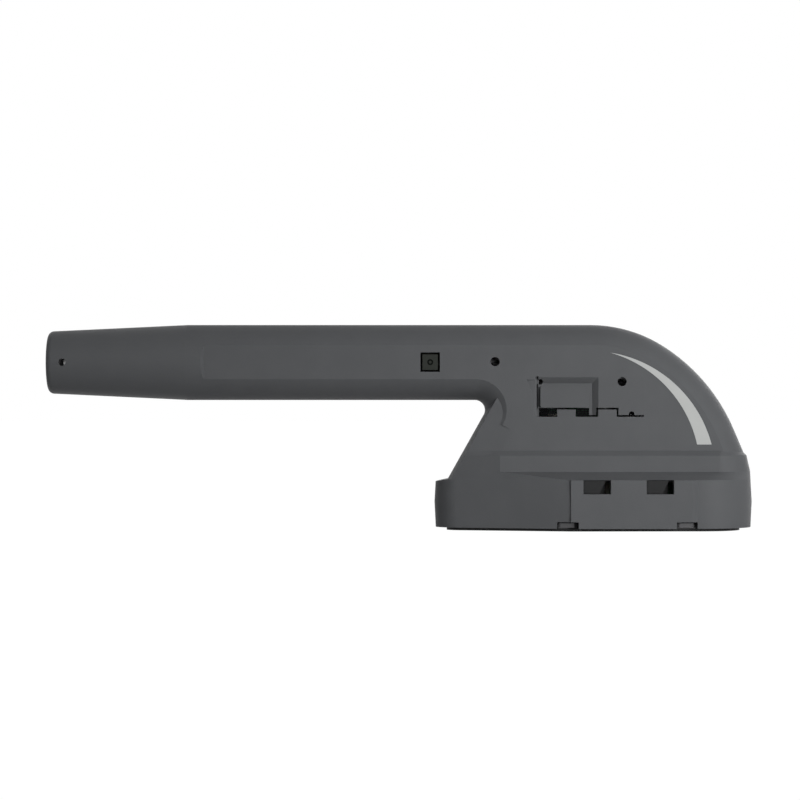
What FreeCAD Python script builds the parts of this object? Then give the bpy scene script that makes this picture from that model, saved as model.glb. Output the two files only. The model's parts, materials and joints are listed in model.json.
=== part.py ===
# Airspeed probe with a round pitot barrel, a domed neck and a boat-shaped plinth.
# Millimetres, +Z up, nose towards -X. The origin is the centre of the four-screw
# pattern on the underside of the base plate.
import FreeCAD
import Part
import math
import os

V = FreeCAD.Vector
X_AXIS = V(1, 0, 0)
Y_AXIS = V(0, 1, 0)
Z_AXIS = V(0, 0, 1)

# Barrel and head
barrel_r = 7.5
barrel_z = 33.4
flat_depth = 0.8
wall = 1.6
nose_x = -114.95
head_length = 27.8
tip_r = 6.2
nose_bevel = 0.4
nose_round = 1.2
flat_setback = 3.6
flat_ramp = 0.6

# Neck: front slope and the fillet under the barrel
corner_x = -26.29
slope_deg = 60.65
throat_r = 2.0
front_sag = 0.6

# Dome over the neck: two tangent arcs and a straight run
dome_x = -6.57
dome_r1 = 27.1
dome_turn = 32.86
dome_r2 = 36.8
dome_end = 67.0

# Plinth levels
plate_t = 0.6
bulge_z = 5.7
plinth_z = 10.15
label_low_z = 11.7
label_top_z = 14.9
shoulder_z = 15.9
shoulder_tuck = 0.3
shoulder_sink = 0.41
ramp_sink = 0.7
stern_step = 0.35
stern_draft = 0.05

# Plinth plan
bow_x = -37.53
bow_r = 5.55
bow_deg = 15.4
bulge = 0.25
lip_drop = 0.45
label_half = 7.7
label_end_x = 18.3
stern_x = 25.35
stern_side_x = 13.9
stern_half = 10.85
panel_half = 12.0
panel_x0 = -11.15
panel_x1 = 12.74

# Base plate, snap tongues and windows
plate_inset = 2.2
window_w = 5.4
window_h = 2.75
window_x = (-6.0, 6.38)
tongue_t = 1.2
tongue_w = 4.3
tongue_slant = 1.2
hook_recess = 0.8
snap_gap = 0.1
bay_x0 = -8.5
bay_x1 = 9.5
bay_half = 4.6

# Mounting nuts
nut_x = 11.7
nut_y = 7.2
nut_w = 4.0
nut_t = 1.2
nut_bore_r = 0.8
screw_hole_r = 1.1
foot_top_z = 3.6
foot_margin = 0.9
rim_w = 3.6
rim_t = 1.2

# Fits
fit = 0.1
seam = 0.35

# Head
inlet_r = 2.6
chamber_l = 12.0
trap_l = 3.0
trap_r = 3.4
bulkhead_t = 4.0
drain_setback = 3.35
drain_r = 0.72
head_bore_r = 4.2
spigot_l = 5.2
key_l = 4.0
groove_w = 1.0
groove_d = 0.75
tube_r = 1.0
tube_bore_r = 0.6
tube_lip = 1.5
tube_tail = 6.0
hose_grip = 4.0
heater_l = 9.0
bead_r = 0.8
bead_l = 3.2

# Ports and windows in the barrel and neck
static_x = -25.86
static_z = 33.5
static_r = 0.92
manifold_sweep = 2.2
sense_x = -38.7
sense_w = 3.85
chip_w = 3.05
chip_t = 1.2
breather_r = 0.58
ring_depth = 0.1
ambient_board_t = 0.8
ambient_margin = 1.6
vent_x = -0.74
vent_z = 29.54
vent_r = 0.9

# Side cover with its hood
cover_x0 = -17.47
cover_x1 = 3.54
cover_low_z = 22.75
cover_top_z = 30.6
cover_t = 1.2
tab_rise = 1.45
tab_edges = (-13.72, -9.7, -5.67, -1.63)
ledge_w = 0.5
hood_x0 = -16.9
hood_x1 = -7.23
hood_low_z = 24.4
hood_top_z = 28.6
hood_r = 0.4
dish_d = 0.9
dish_run = 1.2
dish_gap = 0.6
pin_hole_r = 0.55
pin_hole_up = 0.9
pin_hole_back = 2.4
screen_t = 0.3

# Main board and what stands on it
board_t = 1.2
board_x0 = -15.0
board_x1 = 15.0
board_z0 = 7.0
board_z1 = 27.5
board_gap = 0.4
post_r = 1.9
post_inset = 2.6
screw_r = 0.7
screw_head_r = 1.35
screw_head_t = 0.9
screw_bite = 3.0
sensor_w = 10.0
sensor_h = 7.0
sensor_t = 3.6
sensor_z = 15.5
sensor_bevel = 0.4
sensor_setback = 1.0
port_share = 0.6
port_pitch = 5.0
port_l = 3.5
controller_w = 5.0
controller_t = 1.0
small_chip_w = 3.0
chip_gap = 1.5
socket_w = 5.0
socket_h = 3.2
socket_t = 1.6
heater_socket_z = 21.6
ambient_socket_z = 17.4
plug_w = 7.6
plug_h = 5.2
plug_t = 3.6
plug_wall = 0.6
plug_floor = 1.6
plug_drop = 0.6
plug_gap = 0.3
plug_pins = 4
pin_pitch = 1.25
pin_w = 0.4

# Hoses and leads
hose_wall = 0.6
sag_start = 16.0
sag_run = 30.0
lead_r = 0.5
bead_lead_r = 0.35
lead_step = 4.0
lead_drop = 5.5
bend_share = 0.45


def line(a, b):
    return Part.LineSegment(a, b).toShape()


def arc(a, b, c):
    return Part.Arc(a, b, c).toShape()


def face(edges):
    return Part.Face(Part.Wire(edges))


def polygon(points):
    return Part.Face(Part.makePolygon(points + [points[0]]))


def block(x0, x1, y0, y1, z0, z1):
    return Part.makeBox(x1 - x0, y1 - y0, z1 - z0, V(x0, y0, z0))


def side_prism(points, y0, y1):
    """Prism whose outline is given as (x, z) points, between two y planes."""
    outline = polygon([V(x, y0, z) for x, z in points])
    return outline.extrude(V(0, y1 - y0, 0))


def rod(x, y, z, radius, length, direction):
    return Part.makeCylinder(radius, length, V(x, y, z), direction)


def tube(x, y, z, outer, inner, length, direction):
    return rod(x, y, z, outer, length, direction).cut(rod(x, y, z, inner, length, direction))


def mirrored(shape):
    return shape.mirror(V(0, 0, 0), Y_AXIS)


# ---- outer form of the housing, every wall moved in by an inset ----

flat_y = barrel_r - flat_depth
joint_x = nose_x + head_length
slope = math.radians(slope_deg)
barrel_low = barrel_z - barrel_r
barrel_top = barrel_z + barrel_r
throat_turn = 180 - slope_deg
throat_run = throat_r * math.tan(math.radians(throat_turn / 2))
throat = V(corner_x - throat_run, 0, barrel_low - throat_r)
dome_c1 = V(dome_x, 0, barrel_top - dome_r1)
turn = math.radians(dome_turn)
dome_c2 = dome_c1 + V(math.sin(turn), 0, math.cos(turn)) * (dome_r1 - dome_r2)
dome_fall = math.radians(dome_end)
dome_foot = dome_c2 + V(math.sin(dome_fall), 0, math.cos(dome_fall)) * dome_r2


def slope_x(z, inset):
    """Front of the neck at a height."""
    return corner_x - (barrel_low - z) / math.tan(slope) + inset / math.sin(slope)


def dome_line_x(z, inset):
    """Back of the dome's straight run at a height."""
    return dome_foot.x + (dome_foot.z - z) / math.tan(dome_fall) - inset / math.sin(dome_fall)


def bow_y(x, inset):
    """Half width of the bow's side plane at a place along the plinth."""
    a = math.radians(bow_deg)
    r = bow_r - inset
    touch_x = bow_x + bow_r - r * math.sin(a)
    return r * math.cos(a) + (x - touch_x) * math.tan(a)


def bow_x_at(y, inset):
    a = math.radians(bow_deg)
    r = bow_r - inset
    touch_x = bow_x + bow_r - r * math.sin(a)
    return touch_x + (y - r * math.cos(a)) / math.tan(a)


def rim_face(x, axis_z, root_z, side, inset):
    """Section of the rim: two flats closed by a round of the barrel's radius."""
    r = barrel_r - inset
    f = flat_y - inset
    shoulder = axis_z + side * math.sqrt(r * r - f * f)
    a = V(x, -f, root_z)
    b = V(x, -f, shoulder)
    c = V(x, 0, axis_z + side * r)
    d = V(x, f, shoulder)
    e = V(x, f, root_z)
    return face([line(a, b), arc(b, c, d), line(d, e), line(e, a)])


def plan_wire(z, tip_x, front, full, end, stern):
    """Plan outline: front arc, tapers, sides and stern arc, from (x, half width) points."""
    f0, f1 = V(front[0], -front[1], z), V(front[0], front[1], z)
    m0, m1 = V(full[0], -full[1], z), V(full[0], full[1], z)
    e0, e1 = V(end[0], -end[1], z), V(end[0], end[1], z)
    edges = [
        arc(f0, V(tip_x, 0, z), f1),
        line(f1, m1),
        line(m1, e1),
        arc(e1, V(stern, 0, z), e0),
        line(e0, m0),
        line(m0, f0),
    ]
    return Part.Wire(edges)


def neck_wire(z, inset):
    """Neck outline at the shoulder: blunt front, slight taper, flats, round back."""
    tip = slope_x(z, inset)
    front_x = tip + front_sag
    f = flat_y - inset
    r = barrel_r - inset
    back = dome_line_x(z, inset) - shoulder_tuck
    band = (r - math.sqrt(r * r - f * f)) / math.sin(dome_fall)
    full_x = bow_x_at(label_half - inset, inset)
    return plan_wire(z, tip, (front_x, bow_y(front_x, inset)), (full_x, f), (back - band, f), back)


def label_wire(z, inset, stern):
    """Outline of the plain band above the plinth."""
    tip = slope_x(z, inset)
    front_x = tip + front_sag
    half = label_half - inset
    full = (bow_x_at(half, inset), half)
    return plan_wire(z, tip, (front_x, bow_y(front_x, inset)), full, (label_end_x, half), stern - inset)


def plinth_wire(z, inset, pointed):
    """Outline of the plinth: the whole bow, or the bow cut back to the neck's front."""
    a = math.radians(bow_deg)
    r = bow_r - inset
    if pointed:
        tip = bow_x + inset
        front_x = bow_x + bow_r - r * math.sin(a)
    else:
        tip = slope_x(z, inset)
        front_x = tip + front_sag
    side = (panel_x0, bow_y(panel_x0, inset))
    end = (stern_side_x, stern_half - inset)
    return plan_wire(z, tip, (front_x, bow_y(front_x, inset)), side, end, stern_x - inset)


def loft(wires):
    return Part.makeLoft(wires, True, True)


def dome_form(inset):
    """Dome: the rim section turned about two centres, then run out straight."""
    first = rim_face(dome_c1.x, barrel_z, dome_c1.z, 1, inset)
    first = first.revolve(dome_c1, Y_AXIS, dome_turn)
    section = rim_face(dome_c2.x, dome_c2.z + dome_r2 - barrel_r, dome_c2.z, 1, inset)
    second = section.rotated(dome_c2, Y_AXIS, dome_turn)
    second = second.revolve(dome_c2, Y_AXIS, dome_end - dome_turn)
    fall = (dome_foot.z - label_top_z) / math.sin(dome_fall)
    last = section.rotated(dome_c2, Y_AXIS, dome_end)
    last = last.extrude(V(math.cos(dome_fall), 0, -math.sin(dome_fall)) * fall)
    floor = block(2 * bow_x, 2 * stern_x, -label_half, label_half, label_top_z - wall, 2 * barrel_top)
    return first.fuse([second, last]).common(floor)


def throat_form(inset):
    """The barrel's underside turned down round the throat."""
    root = barrel_z + flat_y / 3
    section = rim_face(throat.x, barrel_z, root, -1, inset)
    return section.revolve(throat, Y_AXIS, throat_turn)


def prow_wire(z, shift, inset):
    """Plan outline of the neck's blunt prow and flats, moved back along the slope."""
    tip = slope_x(z, inset)
    front_x = tip + front_sag
    y = bow_y(front_x - shift, inset)
    f = flat_y - inset
    full_x = bow_x_at(label_half - inset, inset) + shift
    back_x = full_x + flat_y
    edges = [
        arc(V(front_x, -y, z), V(tip, 0, z), V(front_x, y, z)),
        line(V(front_x, y, z), V(full_x, f, z)),
        line(V(full_x, f, z), V(back_x, f, z)),
        line(V(back_x, f, z), V(back_x, -f, z)),
        line(V(back_x, -f, z), V(full_x, -f, z)),
        line(V(full_x, -f, z), V(front_x, -y, z)),
    ]
    return Part.Wire(edges)


def neck_form(inset):
    """Neck front: the blunt prow runs up the slope and into the barrel."""
    low = shoulder_z - shoulder_sink * inset
    shift = (barrel_z - low) / math.tan(slope)
    return loft([prow_wire(low, 0, inset), prow_wire(barrel_z, shift, inset)])


def core_form(inset):
    """Flat-sided middle of the neck, between the prow and the dome."""
    low = shoulder_z - shoulder_sink * inset
    f = flat_y - inset
    start = bow_x_at(label_half - inset, inset) + front_sag
    shift = (barrel_z - low) / math.tan(slope)
    end = dome_x + front_sag
    return side_prism([(start, low), (start + shift, barrel_z), (end, barrel_z), (end, low)], -f, f)


def plinth_form(inset, bottom_z):
    """Shoulder, label band, ramp and plinth, lofted level by level."""
    top = shoulder_z - shoulder_sink * inset
    band_top = label_top_z - shoulder_sink * inset
    band_low = label_low_z - ramp_sink * inset
    ledge = plinth_z - inset
    stern_top = dome_line_x(label_top_z, 0) + stern_step
    stern_low = stern_x - stern_draft
    shoulder = loft([label_wire(band_top, inset, stern_top), neck_wire(top, inset)])
    band = loft([label_wire(band_low, inset, stern_low), label_wire(band_top, inset, stern_top)])
    ramp = loft([plinth_wire(ledge, inset, False), label_wire(band_low, inset, stern_low)])
    low = loft([plinth_wire(bottom_z, inset, True), plinth_wire(bulge_z, inset - bulge, True)])
    high = loft([plinth_wire(bulge_z, inset - bulge, True), plinth_wire(ledge, inset, True)])
    return shoulder.fuse([band, ramp, low, high])


def housing_form(inset, bottom_z):
    shapes = [dome_form(inset), throat_form(inset), neck_form(inset), core_form(inset)]
    return plinth_form(inset, bottom_z).fuse(shapes)



# ---- housing shells ----

inner_flat = flat_y - wall
bore_r = barrel_r - wall
spigot_r = bore_r - fit
flat_start = joint_x + flat_setback
hose_r = tube_r + hose_wall
nipple_root = hose_r * math.hypot(inner_flat, manifold_sweep) / inner_flat + fit
heater_back = nose_x + chamber_l + bulkhead_t + heater_l


def barrel_skin():
    """Round barrel with flats milled on both sides behind the head joint."""
    skin = rod(joint_x, 0, barrel_z, barrel_r, dome_x - joint_x, X_AXIS)
    reach = 2 * barrel_r
    points = [
        V(flat_start - flat_ramp, barrel_r, barrel_z - barrel_r),
        V(flat_start, flat_y, barrel_z - barrel_r),
        V(dome_x, flat_y, barrel_z - barrel_r),
        V(dome_x, reach, barrel_z - barrel_r),
        V(flat_start - flat_ramp, reach, barrel_z - barrel_r),
    ]
    cutter = polygon(points).extrude(Z_AXIS * 2 * barrel_r)
    return skin.cut(cutter).cut(mirrored(cutter))


def barrel_bore():
    """Flat-sided bore of the barrel with a round mouth for the head's spigot."""
    upper = rim_face(joint_x - 1, barrel_z, barrel_z, 1, wall)
    lower = rim_face(joint_x - 1, barrel_z, barrel_z, -1, wall)
    run = X_AXIS * (dome_x - joint_x + 1)
    mouth = rod(joint_x - 1, 0, barrel_z, bore_r, spigot_l + 1, X_AXIS)
    return upper.extrude(run).fuse([lower.extrude(run), mouth])


def side_panel():
    """Flat panel proud of both plinth sides, with a 45 degree run-out at its rear."""
    rise = panel_half - stern_half
    points = [
        V(panel_x0, -panel_half, plate_t),
        V(panel_x0, panel_half, plate_t),
        V(panel_x1, panel_half, plate_t),
        V(panel_x1 + rise, panel_half - rise, plate_t),
        V(panel_x1 + rise, rise - panel_half, plate_t),
        V(panel_x1, -panel_half, plate_t),
    ]
    return polygon(points).extrude(Z_AXIS * (plinth_z - plate_t))


def lip_wedge():
    """Slope on top of the bow's lip."""
    root = slope_x(plinth_z, 0)
    tip = 2 * bow_x - root
    drop = lip_drop * (root - tip) / (root - bow_x)
    return side_prism([(root, plinth_z), (tip, plinth_z), (tip, plinth_z - drop)], -panel_half, panel_half)


def window_cutter(x):
    low = plinth_z - window_h
    return block(x - window_w / 2, x + window_w / 2, stern_half - 2 * wall, 2 * panel_half, low, plinth_z)


def foot_block(x, y):
    """Foot inside the skirt that holds one mounting nut."""
    half = nut_w / 2 + foot_margin
    side = 1 if y > 0 else -1
    near = y - side * half
    far = side * (panel_half - wall / 2)
    y0, y1 = min(near, far), max(near, far)
    return block(x - half, x + half, y0, y1, plate_t, foot_top_z)


def nut_slot(x, y):
    """Slot for the nut, open to the side and below, and the hole for the screw's end."""
    half = nut_w / 2 + fit
    side = 1 if y > 0 else -1
    near, far = y - side * half, side * 2 * panel_half
    slot = block(x - half, x + half, min(near, far), max(near, far), 0, plate_t + nut_t + fit)
    return slot.fuse(rod(x, y, 0, screw_hole_r, 2 * foot_top_z, Z_AXIS))


def nut_places():
    return [(sx * nut_x, sy * nut_y) for sx in (-1, 1) for sy in (-1, 1)]


def tongue_box(x, gap):
    """Space of one snap tongue of the base plate, grown by a gap."""
    x0 = x - window_w / 2 + snap_gap
    y1 = stern_half - wall - fit
    x1 = x0 + tongue_w
    return block(x0 - gap, x1 + gap, y1 - tongue_t - gap, y1 + gap, plate_t - gap, plinth_z - snap_gap)


def skirt_rim():
    """Flange inside the foot of the skirt, notched for the snap tongues."""
    outer = Part.Face(plinth_wire(plate_t, wall / 2, True)).extrude(Z_AXIS * rim_t)
    inner = Part.Face(plinth_wire(plate_t, rim_w, True)).extrude(Z_AXIS * rim_t)
    rim = outer.cut(inner)
    for x in window_x:
        notch = tongue_box(x, snap_gap)
        rim = rim.cut(notch).cut(mirrored(notch))
    return rim


def shell_skin():
    """Both halves of the housing in one piece, before its ports and bosses."""
    skin = housing_form(0, plate_t).fuse([barrel_skin(), side_panel()]).cut(lip_wedge())
    room = housing_form(wall, -wall).fuse(barrel_bore())
    feet = [foot_block(x, y).common(housing_form(wall / 2, plate_t)) for x, y in nut_places()]
    shell = skin.cut(room).fuse(feet + [skirt_rim()])
    for x, y in nut_places():
        shell = shell.cut(nut_slot(x, y))
    for x in window_x:
        shell = shell.cut(window_cutter(x)).cut(mirrored(window_cutter(x)))
    return shell


def static_bore():
    return rod(static_x, -barrel_r, static_z, static_r, 2 * barrel_r, Y_AXIS)


def half_space(side):
    """Box that covers one side of the centre plane."""
    y0, y1 = (-2 * panel_half, 0) if side < 0 else (0, 2 * panel_half)
    return block(2 * nose_x, -nose_x, y0, y1, -barrel_top, 2 * barrel_top)


# ---- side cover ----

def cover_outline(gap, ledge):
    """Outline of the side cover: tight at its top and back, a gap along the teeth and the front."""
    t0, t1, t2, t3 = tab_edges
    x0, x1 = cover_x0 - gap + ledge, cover_x1 - ledge
    low, step = cover_low_z - gap, cover_low_z + tab_rise - gap
    top = cover_top_z - ledge
    return [
        (x0, low), (t0 + gap, low), (t0 + gap, step), (t1 - gap, step), (t1 - gap, low), (t2 + gap, low),
        (t2 + gap, step), (t3 - gap, step), (t3 - gap, low), (x1, low), (x1, top), (x0, top),
    ]


def dish_outline(depth, grow):
    """Dish outline at a depth below the flat, open at its lower edge."""
    x0, x1 = hood_x0 - grow, hood_x1 + dish_gap + grow
    y, top = depth - flat_y, hood_top_z + dish_gap + grow
    corners = [V(x0, y, cover_low_z), V(x1, y, cover_low_z), V(x1, y, top), V(x0, y, top)]
    return Part.makePolygon(corners + [corners[0]])


def dish_cutter():
    """Shallow dish round the hood, with sloped sides."""
    return loft([dish_outline(dish_d, 0), dish_outline(0, dish_run)])


def hood():
    shape = block(hood_x0, hood_x1, -flat_y, dish_d - flat_y, hood_low_z, hood_top_z)
    reach = hood_r + dish_d
    rims = [e for e in shape.Edges if e.BoundBox.YLength > dish_d / 2 and e.BoundBox.DiagonalLength < reach]
    return shape.makeFillet(hood_r, rims)


def cover_room():
    """Stepped opening in the left shell that takes the side cover."""
    pocket = side_prism(cover_outline(seam / 2, 0), -flat_y - wall, cover_t - flat_y)
    window = side_prism(cover_outline(seam / 2, ledge_w), -flat_y, wall - flat_y + fit)
    return pocket.fuse(window)


def vent_cover():
    """Side cover: toothed plate, dish, hood and the air slots under the hood."""
    plate = side_prism(cover_outline(-seam / 2, 0), -flat_y, cover_t - flat_y)
    plate = plate.cut(dish_cutter()).fuse(hood())
    for x0, x1 in ((cover_x0 - seam, tab_edges[0] + seam), (tab_edges[1] - seam, hood_x1)):
        slot = block(x0, x1, -flat_y, 0, cover_low_z - seam, hood_low_z - fit)
        plate = plate.cut(slot)
    holes = (
        (vent_x, vent_z, vent_r),
        (cover_x0 + pin_hole_r, hood_top_z + pin_hole_up, pin_hole_r),
        (cover_x1 - pin_hole_back, cover_low_z + seam, pin_hole_r),
    )
    for x, z, r in holes:
        plate = plate.cut(rod(x, -barrel_r, z, r, barrel_r, Y_AXIS))
    return plate


def vent_screen():
    """Fine mesh sheet glued behind the cover's slots and hole."""
    outline = cover_outline(-fit, ledge_w + fit)
    y = cover_t - flat_y
    return side_prism(outline, y, y + screen_t)


# ---- left and right shells ----

def sense_window():
    half = sense_w / 2
    low, high = barrel_z - half, barrel_z + half
    return block(sense_x - half, sense_x + half, -barrel_r, -inner_flat + fit, low, high)


def left_shell(shell):
    half = shell.common(half_space(-1)).cut(static_bore()).cut(sense_window())
    return half.cut(cover_room()).cut(dish_cutter())


def post_places():
    return [
        (board_x0 + post_inset, board_z0 + post_inset),
        (board_x1 - post_inset, board_z0 + post_inset),
        (board_x0 + post_inset, board_z1 - post_inset),
        (board_x1 - 2 * post_inset, board_z1 - post_inset),
    ]


def right_shell(shell):
    half = shell.common(half_space(1)).cut(static_bore())
    back = board_y + board_t
    room = housing_form(wall / 2, plate_t)
    for x, z in post_places():
        post = rod(x, back, z, post_r, panel_half - back, Y_AXIS).common(room)
        half = half.fuse(post).cut(rod(x, back, z, screw_r, screw_bite + fit, Y_AXIS))
    return half


# ---- head ----

def turned(profile):
    """Body turned about the barrel's axis from corners given as (distance back, radius)."""
    corners = [V(nose_x + back, 0, barrel_z + radius) for back, radius in profile]
    return polygon(corners).revolve(V(0, 0, barrel_z), X_AXIS, 360)


def pitot_head():
    """Turned nose: rounded tip, cone, spigot with a seal groove and a flatted key."""
    bulkhead = chamber_l + bulkhead_t
    spigot_end = head_length + spigot_l - fit
    key_end = spigot_end + key_l
    outer = turned([
        (0, 0), (0, tip_r), (head_length, barrel_r),
        (head_length, spigot_r), (key_end, spigot_r), (key_end, 0),
    ])
    rim = [edge for edge in outer.Edges if abs(edge.BoundBox.XMax - nose_x) < fit and edge.Length > tip_r]
    outer = outer.makeFillet(nose_round, rim)
    inner = turned([
        (0, 0), (0, inlet_r + nose_bevel), (nose_bevel / 2, inlet_r), (chamber_l - trap_l, inlet_r),
        (chamber_l - trap_l, trap_r), (chamber_l, trap_r), (chamber_l, tube_r), (bulkhead, tube_r),
        (bulkhead, head_bore_r), (key_end, head_bore_r), (key_end, 0),
    ])
    groove_x = head_length + (spigot_l - groove_w) / 2
    groove = turned([
        (groove_x, spigot_r - groove_d), (groove_x, barrel_r),
        (groove_x + groove_w, barrel_r), (groove_x + groove_w, spigot_r - groove_d),
    ])
    drain = rod(nose_x + drain_setback, -barrel_r, barrel_z, drain_r, 2 * barrel_r, Y_AXIS)
    body = outer.cut(inner).cut(groove).cut(drain)
    half = inner_flat - fit
    back = nose_x + spigot_end
    flat = block(back, back + key_l + 1, half, barrel_r, barrel_low, barrel_top)
    return body.cut(flat).cut(mirrored(flat))


def head_seal():
    """Square-cut sealing ring in the spigot's groove, flush with the barrel's bore."""
    inner = spigot_r - groove_d
    x = joint_x + (spigot_l - groove_w) / 2 + fit
    return tube(x, 0, barrel_z, bore_r, inner, groove_w - 2 * fit, X_AXIS)


def ram_tube():
    """Metal tube through the bulkhead, its front end standing proud to keep water out."""
    x0 = nose_x + chamber_l - tube_lip
    return tube(x0, 0, barrel_z, tube_r, tube_bore_r, joint_x + spigot_l + key_l + tube_tail - x0, X_AXIS)


def heater_sleeve():
    """Ring heater pushed against the bulkhead."""
    x0 = nose_x + chamber_l + bulkhead_t
    return tube(x0, 0, barrel_z, head_bore_r - fit, tube_r + fit, heater_l, X_AXIS)


def lane(radius, side):
    """Place in the barrel's section of a lead that runs beside the hose and under the cross tube."""
    return side * (hose_r + radius + fit), static_z - hose_r - radius - 2 * fit


def thermistor():
    """Bead sensor bonded to the back of the heater."""
    y, z = lane(bead_lead_r, -1)
    return rod(heater_back, y, z, bead_r, bead_l, X_AXIS)


# ---- hoses and leads ----

def rounded_path(points):
    """Straight runs joined by tangent arcs as large as the runs allow."""
    count = len(points)
    edges = []
    start = points[0]
    for i in range(1, count - 1):
        a, b, c = points[i - 1], points[i], points[i + 1]
        back, ahead = a - b, c - b
        reach = bend_share * min(back.Length, ahead.Length)
        u, w = V(back), V(ahead)
        u.normalize()
        w.normalize()
        half = u.getAngle(w) / 2
        middle = u + w
        middle.normalize()
        centre_d = reach / math.cos(half)
        r = reach * math.tan(half)
        p, q = b + u * reach, b + w * reach
        edges.append(line(start, p))
        edges.append(arc(p, b + middle * (centre_d - r), q))
        start = q
    edges.append(line(start, points[-1]))
    return Part.Wire(edges)


def round_sweep(points, radius):
    path = rounded_path(points)
    direction = points[1] - points[0]
    ring = Part.Wire(Part.makeCircle(radius, points[0], direction))
    return path.makePipeShell([ring], True, False)


def hose(points, bore_r, wall_t):
    return round_sweep(points, bore_r + wall_t).cut(round_sweep(points, bore_r))


# ---- board and sensor ----

board_y = sensor_t * port_share
sensor_x = (board_x0 + board_x1) / 2 - sensor_setback
sag_z = static_z - 2 * hose_r - 3 * fit


def port_places():
    return [sensor_x - port_pitch / 2, sensor_x + port_pitch / 2]


def main_board():
    """Board in the neck and plinth, cut to the walls' inner shape."""
    board = block(board_x0, board_x1, board_y, board_y + board_t, board_z0, board_z1)
    board = board.common(housing_form(wall + board_gap, plate_t))
    for x, z in post_places():
        board = board.cut(rod(x, board_y, z, screw_r + fit, board_t, Y_AXIS))
    return board


def board_screws():
    """Four cheese-head screws through the board into the posts."""
    parts = []
    for x, z in post_places():
        head = rod(x, board_y - screw_head_t, z, screw_head_r, screw_head_t, Y_AXIS)
        shank = rod(x, board_y, z, screw_r, board_t + screw_bite, Y_AXIS)
        parts.append(head.fuse(shank))
    return Part.makeCompound(parts)


def pressure_sensor():
    """Differential pressure sensor with two ports pointing up."""
    front = board_y - sensor_t
    x0, x1 = sensor_x - sensor_w / 2, sensor_x + sensor_w / 2
    body = block(x0, x1, front, board_y, sensor_z, sensor_z + sensor_h)
    rim = [edge for edge in body.Edges if abs(edge.BoundBox.YMax - front) < fit]
    body = body.makeChamfer(sensor_bevel, rim)
    for x in port_places():
        body = body.fuse(rod(x, 0, sensor_z + sensor_h, tube_r, port_l, Z_AXIS))
        body = body.cut(rod(x, 0, sensor_z + sensor_h, tube_bore_r, port_l, Z_AXIS))
    return body


def soldered(x, z, width, height, thickness):
    """Package standing on the board's left face, centred on a place."""
    return block(x - width / 2, x + width / 2, board_y - thickness, board_y, z - height / 2, z + height / 2)


def board_chips():
    """Controller and transceiver behind the sensor, and a regulator below it."""
    row_x = sensor_x + sensor_w / 2 + chip_gap + controller_w / 2
    controller = soldered(row_x, sensor_z + controller_w / 4, controller_w, controller_w, controller_t)
    up = sensor_z + controller_w + small_chip_w / 2
    transceiver = soldered(row_x, up, small_chip_w, small_chip_w, controller_t)
    down = sensor_z - chip_gap - small_chip_w / 4
    regulator = soldered(sensor_x, down, controller_w, small_chip_w / 2, controller_t)
    return Part.makeCompound([controller, transceiver, regulator])


def connector(x):
    """Shrouded header on the board's lower edge, its mouth facing down."""
    z0 = board_z0 - plug_drop
    half = plug_w / 2
    front = board_y - plug_t
    body = block(x - half, x + half, front, board_y, z0, z0 + plug_h)
    inside = half - plug_wall
    top = z0 + plug_h - plug_floor
    body = body.cut(block(x - inside, x + inside, front + plug_wall, board_y - plug_wall, z0, top))
    y0 = board_y - (plug_t + pin_w) / 2
    for i in range(plug_pins):
        x0 = x - pin_w / 2 + (i - (plug_pins - 1) / 2) * pin_pitch
        body = body.fuse(block(x0, x0 + pin_w, y0, y0 + pin_w, z0 + plug_wall, top))
    return body


def plug_places():
    middle = (bay_x0 + bay_x1) / 2
    step = plug_w / 2 + plug_gap
    return [middle - step, middle + step]


def lead_socket(z):
    """Socket at the board's front edge for a pair of leads."""
    return soldered(board_x0 + socket_w / 2, z, socket_w, socket_h, socket_t)


def ram_hose():
    """Silicone hose from the ram tube, under the static cross tube, to the front port."""
    start = joint_x + spigot_l + key_l + tube_tail - hose_grip
    port_x = port_places()[0]
    points = [
        V(start, 0, barrel_z),
        V(start + sag_start, 0, barrel_z),
        V(start + sag_start + sag_run, 0, sag_z),
        V(port_x, 0, sag_z),
        V(port_x, 0, sensor_z + sensor_h + fit),
    ]
    return hose(points, tube_r, hose_wall)


def static_hose():
    """Silicone hose from the static cross tube over the ram hose to the rear port."""
    port_x = port_places()[1]
    points = [
        V(static_x + manifold_sweep + nipple_root, 0, static_z),
        V(port_x, 0, static_z),
        V(port_x, 0, sensor_z + sensor_h + fit),
    ]
    return hose(points, tube_r, hose_wall)


def lead(start_x, place, radius, socket_z):
    """Sleeved lead along its lane in the barrel, then down the neck to its socket."""
    side_y, side_z = place
    bend_x = static_x + lead_step
    end_x = board_x0
    end_y = board_y - radius - fit
    points = [
        V(start_x, side_y, side_z),
        V(bend_x, side_y, side_z),
        V(bend_x + lead_step, side_y, side_z - lead_drop),
        V(end_x - lead_step, end_y, socket_z),
        V(end_x, end_y, socket_z),
    ]
    return round_sweep(points, radius)


def heater_lead():
    return lead(heater_back, lane(lead_r, 1), lead_r, heater_socket_z + socket_h / 6)


def thermistor_lead():
    bead_back = heater_back + bead_l
    return lead(bead_back, lane(bead_lead_r, -1), bead_lead_r, heater_socket_z - socket_h / 3)


def ambient_lead():
    place = (lead_r - ambient_back, lane(lead_r, -1)[1])
    return lead(sense_x + sense_w / 2, place, lead_r, ambient_socket_z)


ambient_back = inner_flat - ambient_board_t


def ambient_board():
    """Small board on the barrel's inner flat that carries the ambient sensor."""
    half_x = sense_w / 2 + ambient_margin
    half_z = math.sqrt(bore_r ** 2 - inner_flat ** 2) - fit
    low, high = barrel_z - half_z, barrel_z + half_z
    return block(sense_x - half_x, sense_x + half_x, -inner_flat, -ambient_back, low, high)


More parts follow.
